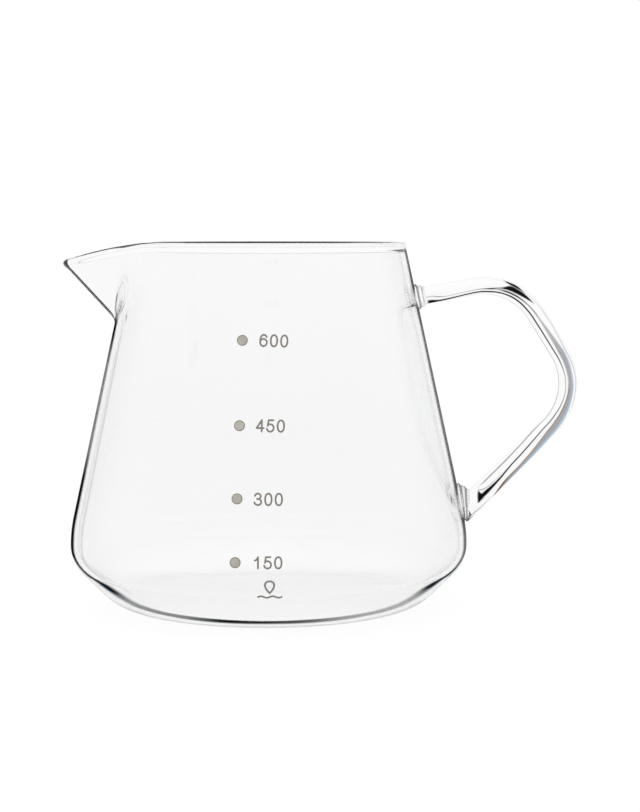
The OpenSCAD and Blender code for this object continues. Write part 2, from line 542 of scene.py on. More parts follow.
def give_lines(
    piece: bpy.types.Object,
    strength: Array | float,
    start: Array | float = 0.79,
    end: Array | float = TO_OUTLINE,
    hairline: Array | float = 0.0,
    ghost: Array | float = 0.0,
    streak: Array | None = None,
) -> None:
    """Write the painted shade lines and bands that the glass finish reads from a mesh.

    Args:
        piece: The piece.
        strength: How dark its painted shade line against the light is, from 0 to 1, at each vertex.
        start: The angle to the viewer, from 0 to 1, where the line begins.
        end: The angle where the line ends.
        hairline: How dark the painted shade at the very edge is.
        ghost: How dark the painted thin line is, standing in for the inner face seen through the
            wall.
        streak: Colour and amount of its painted dark bands, one row for each vertex.
    """
    mesh = piece.data
    every = np.ones(len(mesh.vertices))
    outline = np.column_stack([every * strength, every * start, every * end])
    edges = np.column_stack([every * hairline, every * ghost, every * 0.0])
    store(mesh, "outline", Kind.VECTOR, outline)
    store(mesh, "edges", Kind.VECTOR, edges)
    store(mesh, "streak", Kind.COLOUR, np.zeros((len(every), 4)) if streak is None else streak)


def seat(piece: bpy.types.Object, node: str | None = None) -> None:
    """Let a piece ride on the part and hide the CAD node that it stands for.

    Args:
        piece: The piece.
        node: The CAD node that it stands for, if any.
    """
    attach(piece, BODY)
    if node:
        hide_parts(node)
    LOG.info("%s: %d faces", piece.name, len(piece.data.polygons))


def arc(centre: Array, radius: float, start: float, end: float, steps: int) -> Array:
    """Points of an arc, angles in radians."""
    turn = np.linspace(start, end, steps + 1)
    return np.column_stack([centre[0] + radius * np.cos(turn), centre[1] + radius * np.sin(turn)])


def heading(step: Array) -> Array:
    """The unit vector along a step."""
    return step / np.linalg.norm(step)


def in_plane(pair: Array) -> Array:
    """A point or vector of the plane of symmetry, in space."""
    return np.array([pair[0], 0.0, pair[1]])


def run_length(points: Array) -> Array:
    """Length up to each point of a line, or of each column of a grid."""
    steps = np.linalg.norm(np.diff(points, axis=0), axis=-1)
    return np.concatenate([np.zeros((1, *steps.shape[1:])), np.cumsum(steps, axis=0)])


def toward(first: float, second: float, share: Array) -> Array:
    """A share of the way from one number to another."""
    return first + (second - first) * share


def soft_step(x: Array | float, low: float, high: float) -> Array:
    """A soft step from 0 at low to 1 at high."""
    t = np.clip((np.asarray(x, float) - low) / (high - low), 0.0, 1.0)
    return t * t * (3 - 2 * t)


def soft_least(first: Array, second: Array, blend: Array | float) -> Array:
    """The lesser of two fields, rounded where they meet over the given blend."""
    near = np.maximum(blend - np.abs(first - second), 0.0) / blend
    return np.minimum(first, second) - near * near * blend / 4


def surface_between(near: Array, far: Array, outside: Callable[[Array], Array]) -> Array:
    """Find where a test turns true, by halving the span.

    Args:
        near: Distances where it is false.
        far: Distances where it is true.
        outside: The test.

    Returns:
        The distances where it turns.
    """
    for _ in range(HALVINGS):
        middle = (near + far) / 2
        beyond = outside(middle)
        near, far = np.where(beyond, near, middle), np.where(beyond, middle, far)
    return (near + far) / 2


# ------------------------------------------------------------------------------
# Body


@dataclass
class WallShape:
    """The body's outline and spout, with values at or near those of the part's source."""

    body_h: float = 104.6
    rim_r: float = 39.1
    belly_r: float = 57.25
    belly_z: float = 17.8
    foot_r: float = 37.5
    heel_r: float = 15.0
    turn_r: float = 10.0
    hip_r: float = 38.0
    wall: float = 1.8
    bead_d: float = 2.2
    spout_reach: float = 59.6
    spout_drop: float = 5.5
    keel_angle: float = math.radians(47.3)
    keel_r: float = 3.2
    spout_spread: float = math.radians(32.0)
    lip_start: float = 33.9
    lip_bow: float = 0.6
    heel_steps: int = 28
    slope_steps: int = 11
    turn_steps: int = 16
    hip_steps: int = 10
    slope_span: float = 0.05

    def __post_init__(self) -> None:
        """Work out the curves' centres, the slopes and the spout's axes."""
        self.heel_c = np.array([self.foot_r, self.heel_r])
        self.turn_c = np.array([self.belly_r - self.turn_r, self.belly_z])
        self.hip_c = np.array([self.belly_r - self.hip_r, self.belly_z])
        across = self.turn_c - self.heel_c
        reduced = math.acos((self.heel_r - self.turn_r) / np.linalg.norm(across))
        self.heel_slope = QUARTER + math.atan2(across[1], across[0]) - reduced
        upward = np.array([self.rim_r, self.body_h]) - self.hip_c
        half = math.acos(self.hip_r / np.linalg.norm(upward))
        self.lean = math.atan2(upward[1], upward[0]) - half
        self.inward = np.array([math.sin(self.keel_angle), math.cos(self.keel_angle)])
        self.tip = np.array([-self.spout_reach, self.body_h - self.spout_drop])
        self.keel_point = self.tip + self.inward * self.wall / 2
        rim_mid = np.array([self.rim_r - self.wall / 2, self.body_h - self.bead_d / 2])
        flank_end = np.array([-rim_mid[0] * math.cos(self.spout_spread), rim_mid[1]])
        reach = float((flank_end - self.keel_point) @ self.inward) - self.keel_r
        side = rim_mid[0] * math.sin(self.spout_spread)
        spread = math.asin(self.keel_r / math.hypot(side, reach))
        self.flank_angle = math.atan2(side, reach) - spread
        run = np.array([-self.lip_start, self.body_h]) - self.tip
        self.lip_r = float(run @ run) / (8 * self.lip_bow) + self.lip_bow / 2
        square = np.array([run[1], -run[0]]) / np.linalg.norm(run)
        self.lip_c = self.tip + run / 2 + (self.lip_r - self.lip_bow) * square

    def lower_outline(self, depth: float) -> Array:
        """Draw the outline below the straight wall.

        Args:
            depth: Distance in from the outer face.

        Returns:
            Radius and height of each point, from the foot's edge up.
        """
        slope = self.heel_slope - QUARTER
        heel = arc(self.heel_c, self.heel_r - depth, -QUARTER, slope, self.heel_steps)
        turn = arc(self.turn_c, self.turn_r - depth, slope, 0.0, self.turn_steps)
        hip = arc(self.hip_c, self.hip_r - depth, 0.0, self.lean, self.hip_steps)
        between = np.linspace(heel[-1], turn[0], self.slope_steps + 1)[1:-1]
        return np.vstack([heel, between, turn, hip[1:]])

    def cone_radius(self, z: Array, depth: float) -> Array:
        """Radius of the straight wall at a height, at a depth in the glass."""
        up = self.body_h - z
        return self.rim_r + up * math.tan(self.lean) - depth / math.cos(self.lean)

    def outer_radius(self, z: Array) -> Array:
        """Find the radius of the outer face of the round body.

        Args:
            z: Heights.

        Returns:
            The radius at each.
        """
        low = self.lower_outline(0.0)
        curved = np.interp(z, low[:, 1], low[:, 0])
        return np.where(z < low[-1, 1], curved, self.cone_radius(z, 0.0))

    def handle_side(self, z: float) -> Array:
        """The outer face's point at a height, in the plane of symmetry, towards the handle."""
        return np.array([float(self.outer_radius(np.array(z))), z])

    def on_wall(self, along: Array, z: Array, lift: Array | float) -> Array:
        """Points on the front of the round wall.

        Args:
            along: Length of arc from the front meridian, towards the handle.
            z: Heights.
            lift: Distance out of the glass.

        Returns:
            One row of x, y, z for each point.
        """
        radius, delta = self.outer_radius(z), self.slope_span
        slope = (self.outer_radius(z + delta) - self.outer_radius(z - delta)) / (2 * delta)
        level = 1 / np.hypot(1.0, slope)
        turn, out = along / radius, radius + lift * level
        return np.column_stack([out * np.sin(turn), -out * np.cos(turn), z - lift * slope * level])


# Painted shade: dark lines standing in for the dark parts of a room that the wall refracts.
@dataclass(frozen=True)
class WallLines:
    """Where the wall shows painted shade lines, how dark, and between which angles to the viewer.

    Places are x to the left or right and heights; each pair of places is where a change begins
    and ends. A row of heel gives a height, the angles between which the line shows there, and its
    strength. A crest gives strength and first angle at the top of the rim: the outer face shows
    its own on the near side, the inner face on the far side, and the lip takes over on the spout.
    """

    left: float = 1.0
    right: float = 0.8
    turn: float = 30.0
    left_heights: tuple[float, ...] = (38.0, 46.0, 70.0, 78.0)
    left_shares: tuple[float, ...] = (1.0, 0.75, 0.75, 1.0)
    heel: tuple[Row, ...] = (
        (0.0, 0.66, 0.66, 0.1), (2.2, 0.62, 0.63, 0.3), (2.62, 0.53, 0.635, 1.0),
        (3.09, 0.47, 0.635, 1.1), (3.53, 0.475, 0.655, 1.1), (4.2, 0.52, 0.675, 1.0),
        (4.9, 0.58, 0.7, 0.95), (5.96, 0.64, 0.735, 0.9), (7.02, 0.67, 0.765, 0.85),
        (8.43, 0.69, 0.79, 1.0), (9.84, 0.71, 0.815, 1.5), (10.9, 0.73, 0.83, 1.8),
        (11.66, 0.75, 0.84, 1.8), (12.5, 0.762, 0.85, 1.5), (13.35, 0.775, 0.86, 1.1),
        (15.7, 0.79, 0.92, 1.0), (17.0, 0.79, TO_OUTLINE, 1.0),
    )
    heel_sides: Pair = (8.0, 24.0)
    heel_heights: Pair = (4.5, 9.0)
    heel_share: float = 0.7
    joint_gaps: tuple[Pair, ...] = ((88.7, 2.1), (29.7, 4.7))
    joint_reach: float = 12.0
    joint_soft: float = 0.6
    throat_x: float = -25.0
    throat_heights: Pair = (82.0, 85.0)
    keel_half: Pair = (5.0, 8.0)
    rim_heights: Pair = (102.0, 103.0)
    inner: Pair = (0.1, 0.12)
    inner_start: float = 0.79
    inner_low: float = 6.0
    inner_turn: float = 20.0
    inner_heights: Pair = (20.0, 34.0)
    inner_throat: float = 0.03
    inner_throat_z: float = 74.0
    crest_rows: int = 6
    near_crest: Pair = (0.06, 0.4)
    far_crest: Pair = (1.0, 0.12)
    lip_crest: Pair = (0.85, 0.45)
    lip_sides: Pair = (29.5, 34.0)
    corner_sides: Pair = (34.0, 38.0)
    corner_fade: float = 0.8
    tip_sides: Pair = (50.0, 57.5)
    tip_fade: float = 0.75
    tip_low: float = 80.0
    hairline: float = 0.5
    hairline_sides: Pair = (20.0, 40.0)
    hairline_heights: Pair = (14.0, 19.0)
    ghost: float = 0.2
    ghost_rise: Pair = (8.0, 13.0)
    ghost_fall: Pair = (78.0, 84.0)

    def of_outer(self, points: Array, shape: WallShape) -> Array:
        """Set how dark the outer face's painted shade line is, with its gaps at the joints, throat
        and rim.

        Args:
            points: The body's vertices.
            shape: The wall's shape.

        Returns:
            A strength for each vertex.
        """
        x, y, z = points.T
        strength = toward(self.left, self.right, soft_step(x, -self.turn, self.turn))
        strength *= np.interp(z, *(np.array(self.heel).T[i] for i in (0, 3)))
        strength *= 1 - (1 - np.interp(z, self.left_heights, self.left_shares)) * (x < 0)
        heel = soft_step(np.abs(x), *self.heel_sides) * (1 - soft_step(z, *self.heel_heights))
        strength *= 1 - (1 - self.heel_share) * heel
        for height, radius in self.joint_gaps:
            off = points - in_plane(shape.handle_side(height))
            off = np.linalg.norm(off / [1.0, self.joint_reach / radius, 1.0], axis=1)
            strength *= soft_step(off, radius - self.joint_soft, radius + self.joint_soft)
        flank = soft_step(z, *self.throat_heights) * soft_step(np.abs(y), *self.keel_half)
        strength *= 1 - flank * (x < self.throat_x)
        return strength * (1 - soft_step(z, *self.rim_heights) * (x > 0))

    def of_inner(self, points: Array) -> Array:
        """Find how dark the painted shade line of the inner face is.

        Args:
            points: Places on the glass.

        Returns:
            The line's strength at each.
        """
        x, _, z = points.T
        low = soft_step(-x, 0.0, self.inner_turn) * (1 - soft_step(z, *self.inner_heights))
        throat = (x < self.throat_x) & (z > self.inner_throat_z)
        return np.where(throat, self.inner_throat, toward(*self.inner, low)) * (z > self.inner_low)

    def draw(
        self,
        piece: bpy.types.Object,
        points: Array,
        outer_count: int,
        columns: int,
        shape: WallShape,
    ) -> None:
        """Write the painted shade lines to the body's mesh.

        Args:
            piece: The body.
            points: Its vertices: outer face, inner face, two poles.
            outer_count: How many belong to the outer face.
            columns: How many make up a row.
            shape: The wall's shape.
        """
        x, _, z = points.T
        number = np.arange(len(points))
        outer = number < outer_count
        level, starts, ends, _ = np.array(self.heel).T
        strength = np.where(outer, self.of_outer(points, shape), self.of_inner(points))
        start = np.where(outer, np.interp(z, level, starts), self.inner_start)
        end = np.where(outer, np.interp(z, level, ends), TO_OUTLINE)
        crest = outer_count - self.crest_rows * columns
        lip = soft_step(-x, *self.lip_sides)
        corner = 1 - self.corner_fade * soft_step(x, *self.corner_sides)
        for first, last, line in (
            (crest, outer_count, self.near_crest),
            (outer_count + crest, len(points) - 2, self.far_crest),
        ):
            crown = (number >= first) & (number < last)
            dark, begun = (toward(line[i], self.lip_crest[i], lip) for i in (0, 1))
            strength = np.where(crown, dark * corner, strength)
            start = np.where(crown, begun, start)
        strength *= 1 - self.tip_fade * soft_step(-x, *self.tip_sides) * (z > self.tip_low)
        hairline = self.hairline * soft_step(np.abs(x), *self.hairline_sides) * outer
        hairline *= 1 - soft_step(z, *self.hairline_heights)
        ghost = self.ghost * soft_step(z, *self.ghost_rise) * (x < 0) * outer
        ghost *= 1 - soft_step(z, *self.ghost_fall)
        give_lines(piece, np.clip(strength, 0, 1), start, end, hairline, ghost)


@dataclass
class GlassBody:
    """The blown body: even wall, flat foot, pulled V spout, bead along rim and lip."""

    shape: WallShape
    finish: bpy.types.Material
    lines: WallLines = WallLines()
    joints: tuple[Pair, ...] = ((88.9, 1.0), (29.7, 1.25))
    dimple_depth: float = 1.1
    dimple_r: float = 3.6
    columns: int = 300
    fine_bearings: int = 4001
    keel_density: float = 4.0
    keel_width: float = math.radians(6.0)
    keel_blend: float = 1.6
    flank_blend: float = 9.0
    blend_turns: Pair = (0.5, 1.0)
    blend_least: float = 0.01
    lip_blend: float = 0.2
    lip_rounds: int = 60
    spout_side: float = 0.3
    search: Pair = (0.5, 80.0)
    samples: int = 240
    foot_rings: int = 7
    wall_rows: int = 56
    row_crowding: float = 1.35
    bead_rows: int = 8
    bead_fade: float = 1.8
    fade_rows: int = 5

    def bearings(self) -> Array:
        """Spread the columns round the body, closer together round the keel.

        Returns:
            Their bearings off the spout's middle.
        """
        fine = np.linspace(-math.pi, math.pi, self.fine_bearings)
        weight = 1 + self.keel_density * np.exp(-((fine / self.keel_width) ** 2))
        total = np.concatenate([[0.0], np.cumsum((weight[1:] + weight[:-1]) / 2)])
        return np.interp(np.arange(self.columns) / self.columns, total / total[-1], fine)

    def reach(self, bearing: Array, z: Array) -> Array:
        """Find how far out body and spout together reach.

        Args:
            bearing: Angles off the spout's middle.
            z: Heights.

        Returns:
            Radius of the middle of the wall.
        """
        s = self.shape
        off, (grown, gone) = np.abs(bearing), self.blend_turns
        blend = toward(self.keel_blend, self.flank_blend, soft_step(off, 0.0, grown))
        blend = blend * (1 - soft_step(off, grown, gone)) + self.blend_least
        wall = s.cone_radius(z, s.wall / 2)
        cosine, sine = math.cos(s.flank_angle), math.sin(s.flank_angle)

        def outside(middle: Array) -> Array:
            """Tell which places lie outside body and spout.

            Args:
                middle: Radii of the places.

            Returns:
                Whether each is outside.
            """
            across = middle * np.abs(np.sin(bearing))
            inwards = (-middle * np.cos(bearing) - s.keel_point[0]) * s.inward[0]
            inwards = inwards + (z - s.keel_point[1]) * s.inward[1] - s.keel_r
            behind = inwards * cosine + across * sine < 0
            flank = across * cosine - inwards * sine
            wedge = np.where(behind, np.hypot(inwards, across), flank) - s.keel_r
            wedge = np.where(np.cos(bearing) > self.spout_side, wedge, FAR_AWAY)
            return soft_least(wedge, (middle - wall) * math.cos(s.lean), blend) > 0

        start = np.zeros(np.broadcast(bearing, z).shape)
        return surface_between(start + wall - self.search[0], start + self.search[1], outside)

    def edge_height(self, bearing: Array) -> Array:
        """Find where the level rim and the falling lip end the wall.

        Args:
            bearing: Angles off the spout's middle.

        Returns:
            Height of the rim or lip at each.
        """
        s = self.shape
        z = np.full(bearing.shape, s.body_h)
        for _ in range(self.lip_rounds):
            x = np.minimum(-self.reach(bearing, z) * np.cos(bearing), s.lip_c[0])
            fall = s.lip_c[1] + np.sqrt(np.maximum(s.lip_r**2 - (x - s.lip_c[0]) ** 2, 0.0))
            z = (z + soft_least(np.full_like(fall, s.body_h), fall, self.lip_blend)) / 2
        return z

    def middle_grid(self) -> tuple[Array, Array]:
        """Lay a grid over the middle of the wall.

        Returns:
            Points by row and column, from the foot up, and each row's half thickness.
        """
        s = self.shape
        bearing = self.bearings()
        rings = np.linspace(0.0, s.foot_r, self.foot_rings + 2)[1:-1]
        foot = np.column_stack([rings, np.full(self.foot_rings, s.wall / 2)])
        low = np.vstack([foot, s.lower_outline(s.wall / 2)])
        rise = np.linspace(0.0, 1.0, self.samples)[:, None]
        heights = toward(low[-1, 1], self.edge_height(bearing), rise)
        radii = self.reach(np.broadcast_to(bearing, heights.shape), heights)
        dense = np.stack([-radii * np.cos(bearing), radii * np.sin(bearing), heights], axis=2)
        length = run_length(dense)
        bead = s.bead_d / 2
        turn = np.linspace(0.0, QUARTER, self.bead_rows + 1)
        fade = np.linspace(0.0, 1.0, self.fade_rows + 1)[1:]
        depth = np.concatenate([bead * (1 - np.cos(turn)), bead + self.bead_fade * fade])
        thin = toward(bead, s.wall / 2, soft_step(fade, 0.0, 1.0))
        half = np.concatenate([bead * np.sin(turn), thin])
        share = np.linspace(0.0, 1.0, self.wall_rows + 1)[1:-1, None]
        share = 1 - (1 - share) ** self.row_crowding
        wanted = np.vstack([share * (length[-1] - depth[-1]), length[-1] - depth[::-1, None]])
        upper = np.empty((*wanted.shape, 3))
        for column in range(self.columns):
            known = length[:, column]
            for axis in range(3):
                line = dense[:, column, axis]
                upper[:, column, axis] = np.interp(wanted[:, column], known, line)
        radius, level = low[:, :1], low[:, 1:] + np.zeros(self.columns)
        lower = np.stack([-radius * np.cos(bearing), radius * np.sin(bearing), level], axis=2)
        thick = np.concatenate([np.full(len(low) + len(share), s.wall / 2), half[::-1]])
        return np.concatenate([lower, upper]), thick

    def dimples(self, grid: Array) -> Array:
        """Press the inner face in behind each joint, where hot glass was put on.

        Args:
            grid: Places on the wall's middle.

        Returns:
            How far the inner face stands in at each.
        """
        depth = np.zeros(grid.shape[:2])
        for z, size in self.joints:
            place = in_plane(self.shape.handle_side(z))
            off = np.linalg.norm(grid - place, axis=2) / (size * self.dimple_r)
            depth += self.dimple_depth * size * np.exp(-(off**2))
        return depth

    def build(self) -> bpy.types.Object:
        """Close the wall round its middle, outer and inner faces in one mesh.

        Returns:
            The piece that stands for the CAD body.
        """
        grid, thick = self.middle_grid()
        around = np.roll(grid, -1, axis=1) - np.roll(grid, 1, axis=1)
        normal = np.cross(np.gradient(grid, axis=0), around)
        normal /= np.linalg.norm(normal, axis=2, keepdims=True)
        normal *= np.sign((normal[..., :2] * grid[..., :2]).sum())
        outer = grid + normal * thick[:, None, None]
        inner = grid - normal * (thick[:, None] + self.dimples(grid))[..., None]
        rows, columns = grid.shape[:2]
        outer_count = rows * columns
        poles = [[0.0, 0.0, 0.0], [0.0, 0.0, self.shape.wall]]
        points = np.vstack([outer.reshape(-1, 3), inner[:-1].reshape(-1, 3), poles])
        outer_ids = np.arange(outer_count).reshape(rows, columns)
        inner_ids = np.vstack([outer_count + outer_ids[:-1], outer_ids[-1]])
        faces: list[list[int]] = []
        for ids, pole, way in ((outer_ids, len(points) - 2, 1), (inner_ids, len(points) - 1, -1)):
            after = np.roll(ids, -1, axis=1)
            quads = np.stack([ids[:-1], ids[1:], after[1:], after[:-1]], axis=2).reshape(-1, 4)
            fan = np.column_stack([np.full(columns, pole), ids[0], after[0]])
            faces += quads[:, ::way].tolist() + fan[:, ::way].tolist()
        piece = add_piece("glass_body_blown", points, faces, self.finish)
        self.lines.draw(piece, points, outer_count, columns, self.shape)
        seat(piece, "glass_body")
        return piece


# ------------------------------------------------------------------------------
# Handle


@dataclass
class Joint:
    """One end of the rod, in the plane of symmetry: its place on the wall, its gather, the rod."""

    wall_point: Array
    run: Array
    length: float
    rod_point: Array
    rod_run: Array
    rod_r: float

    @property
    def face(self) -> Array:
        """Where the rod's middle line meets the gather's outer face."""
        short = self.length - float((self.rod_point - self.wall_point) @ self.run)
        return self.rod_point + self.rod_run * short * self.stretch

    @property
    def stretch(self) -> float:
        """How much longer than wide the rod's section is in the plane of that face."""
        return 1 / float(self.rod_run @ self.run)


@dataclass(frozen=True)
class Streak:
    """A painted dark band along a solid glass rod, standing in for the dark parts of a room it
    refracts.

    Each stop holds percentages: of the rod's length, the band's place across the rod (-100 inside
    the loop, 100 outside), half its width, and its strength.
    """

    stops: tuple[Row, ...]
    colour: Triple = (0.006, 0.006, 0.007)
    soft_share: float = 0.3
    soft_least: float = 0.015

    def amount(self, share: Array, across: Array) -> Array:
        """Say how strong the band is at places along and across the rod.

        Args:
            share: Shares of the rod's length.
            across: Places across the rod, from -1 to 1.

        Returns:
            The band's strength at each place.
        """
        where, *columns = np.array(self.stops).T * PERCENT
        place, half, strength = (np.interp(share, where, column) for column in columns)
        soft = self.soft_share * half + self.soft_least
        return strength * (1 - soft_step((np.abs(across - place) - half) / soft, -1.0, 1.0))


# Painted dark bands of the rod, standing in for the dark parts of a room that it refracts.
ROD_SHADE_STREAKS = (
    # The dark line along the inside of the loop, wide at both ends.
    Streak((
        (0, -88, 30, 30), (0.4, -88, 30, 100), (1.4, -87, 26, 100), (3.2, -90, 13, 100),
        (5, -87, 9, 100), (8, -81, 7.5, 100), (11, -74, 7.5, 100), (18, -66, 8.5, 100),
        (20, -57, 8, 100), (22, -52, 7.5, 100), (25, -47, 8.5, 100), (28, -48, 8.5, 100),
        (31, -52, 7.5, 100), (38, -47, 7, 95), (44, -47, 6.8, 90), (47, -45, 6.5, 90),
        (50, -40, 5.5, 75), (53, -31, 4.5, 60), (56, -28, 4, 55), (58, -27, 4, 65),
        (65, -45, 5.8, 85), (69, -43, 5.8, 85), (72, -35, 5.8, 90), (76, -22, 6, 100),
        (80, -12, 6.2, 100), (83, -8, 6.5, 100), (86, 2, 7.5, 100), (88, 10, 9, 100),
        (90, 13, 11, 100), (92, 14, 15, 100), (93.5, 13, 19, 100), (94.8, 12, 20, 100),
        (95.1, -7, 40, 100), (95.7, 0, 35, 100), (96.3, 9, 26, 100), (96.9, 20, 15, 100),
        (97.4, 30, 5, 100), (97.6, 33, 1, 0),
    )),
    # Its double below the upper run.
    Streak((
        (1.6, -22, 7, 40), (3, -38, 6, 70), (4.5, -50, 5.5, 55), (6, -52, 5, 40), (10, -45, 5, 40),
        (14, -40, 5, 50), (16, -37, 6, 70), (18, -32, 8, 100), (19, -25, 10, 90),
        (20, -15, 12, 60), (21, -3, 14, 60), (22, 10, 13, 95), (23, 26, 12, 0),
    )),
    # A thin line through the first bend.
    Streak((
        (19.5, -30, 5, 0), (21, -26, 6, 70), (22, -21, 8.5, 100), (24, -17, 9, 100),
        (26, -14, 8.5, 100), (28, -12, 7.5, 85), (30, -10, 7, 65), (33, -6, 7, 55), (35, -2, 7, 0),
    ), (0.02, 0.02, 0.02)),
    # The dark wedge in the middle of the first bend.
    Streak((
        (21.2, 5, 6, 0), (21.9, 12, 14, 100), (22.8, 25, 25, 100), (23.6, 30, 28, 100),
        (25, 31, 26, 100), (26.4, 34, 24, 100), (27.2, 35, 21, 100), (29, 39, 12, 100),
        (30, 43, 7, 85), (31.3, 47, 3, 0),
    )),
    # The dark patch on the outside of the first bend.
    Streak((
        (20.5, 93, 2, 0), (21.4, 86, 4, 50), (22, 80, 8, 100), (22.8, 76, 11, 100),
        (24, 75, 13, 100), (25, 73, 12, 100), (26, 69, 8, 90), (27.8, 62, 4, 0),
    )),
    # The grey between wedge and patch.
    Streak((
        (22.5, 53, 6, 0), (23.5, 55, 9, 50), (25, 53, 8, 45), (26.2, 52, 5, 0),
    ), (0.08, 0.08, 0.08)),
    # The painted brown band of the lower run.
    Streak((
        (54, 4, 3, 0), (57, 6, 6, 55), (62, -3, 6.5, 65), (66, -5, 6.5, 60), (70, 8, 6.5, 60),
        (74, 31, 6, 60), (78, 48, 5.5, 65), (82, 59, 5.5, 70), (86, 61, 7, 85),
        (88.5, 69, 10, 100), (90.5, 80, 10, 100), (92.2, 91, 6, 100), (93.5, 96, 4, 0),
    ), (0.2, 0.1, 0.035)),
    # The painted blue band on the outside of the lower run.
    Streak((
        (40, 30, 4, 0), (46, 40, 8, 50), (52, 43, 9, 60), (56, 48, 10, 95), (60, 47, 10, 95),
        (64, 54, 14, 85), (70, 68, 14, 85), (76, 86, 13, 90), (82, 93, 12, 95), (88, 95, 10, 100),
        (91, 97, 6, 90), (92.5, 98, 3, 0),
    ), (0.34, 0.46, 0.6)),
    # The grey band between the dark line and the blue.
    Streak((
        (30, -8, 5, 0), (34, -3, 9, 60), (38, 6, 15, 75), (42, 11, 21, 82), (46, 11, 29, 90),
        (50, 14, 26, 90), (54, 20, 22, 90), (58, 22, 23, 90), (62, 20, 28, 90), (66, 22, 31, 90),
        (70, 36, 29, 90), (74, 52, 22, 92), (78, 66, 18, 92), (82, 74, 17, 92), (86, 78, 16, 92),
        (90, 84, 12, 92), (92, 91, 5, 92), (93.5, 95, 2, 0),
    ), (0.3, 0.3, 0.31)),
    # A faint line near the outside.
    Streak((
        (2, 95, 2, 0), (28, 68, 6, 20), (34, 75, 7, 35), (38, 82, 7, 35), (42, 75, 7, 40),
        (46, 62, 7, 50), (50, 70, 6, 50), (54, 83, 5, 50), (60, 83, 5, 40), (63, 80, 4, 0),
    ), (0.2, 0.2, 0.2)),
    # The rod's inner edge.
    Streak((
        (28, -96, 3, 25), (40, -96, 4, 45), (50, -96, 4, 40), (60, -96, 4, 45), (70, -96, 4.5, 55),
        (73.5, -91, 5, 65), (76, -84, 5, 65), (80, -76, 5, 70), (84, -71, 5, 75), (92, -67, 5, 75),
        (95, -69, 4, 0),
    ), (0.08, 0.08, 0.08)),
    # A short line at the lower gather.
    Streak((
        (86, -8, 2, 10), (90, -10, 3, 50), (92.5, -15, 3.5, 60), (93.8, -26, 4, 80),
        (94.7, -46, 4.5, 85), (95.1, -53, 3, 0),
    ), (0.06, 0.045, 0.03)),
)


